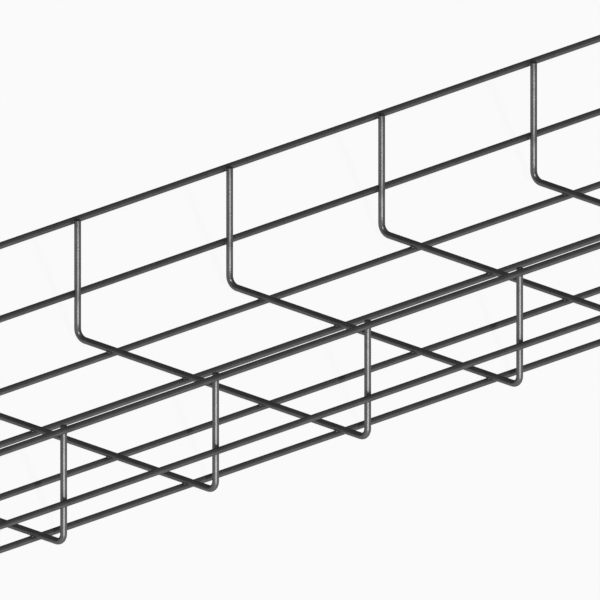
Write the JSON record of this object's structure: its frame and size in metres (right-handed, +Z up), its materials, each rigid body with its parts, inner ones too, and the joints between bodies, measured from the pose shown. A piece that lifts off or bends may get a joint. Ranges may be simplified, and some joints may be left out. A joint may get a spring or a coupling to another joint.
{
  "type": "wire mesh cable basket",
  "caption": "Straight length of U-shaped welded wire mesh tray, open at the top and both ends, that carries cables.",
  "frame": {"origin": "on the surface that the tray stands on, under the middle of its length and width", "axes": "+X along the tray, +Y across it to its left side, +Z up"},
  "size_m": [3, 0.2, 0.0636],
  "materials": {
    "steel_wire": "dark grey zinc plated drawn wire"
  },
  "bodies": {
    "root": {"floor_wire_1": "steel_wire", "floor_wire_2": "steel_wire", "floor_wire_3": "steel_wire", "floor_wire_4": "steel_wire", "side_wire_left": "steel_wire", "side_wire_right": "steel_wire", "edge_wire_left": "steel_wire", "edge_wire_right": "steel_wire", "cross_wire_01": "steel_wire", "cross_wire_02": "steel_wire", "cross_wire_03": "steel_wire", "cross_wire_04": "steel_wire", "cross_wire_05": "steel_wire", "cross_wire_06": "steel_wire", "cross_wire_07": "steel_wire", "cross_wire_08": "steel_wire", "cross_wire_09": "steel_wire", "cross_wire_10": "steel_wire", "cross_wire_11": "steel_wire", "cross_wire_12": "steel_wire", "cross_wire_13": "steel_wire", "cross_wire_14": "steel_wire", "cross_wire_15": "steel_wire", "cross_wire_16": "steel_wire", "cross_wire_17": "steel_wire", "cross_wire_18": "steel_wire", "cross_wire_19": "steel_wire", "cross_wire_20": "steel_wire", "cross_wire_21": "steel_wire", "cross_wire_22": "steel_wire", "cross_wire_23": "steel_wire", "cross_wire_24": "steel_wire", "cross_wire_25": "steel_wire", "cross_wire_26": "steel_wire", "cross_wire_27": "steel_wire", "cross_wire_28": "steel_wire", "cross_wire_29": "steel_wire", "cross_wire_30": "steel_wire"}
  },
  "joints": []
}
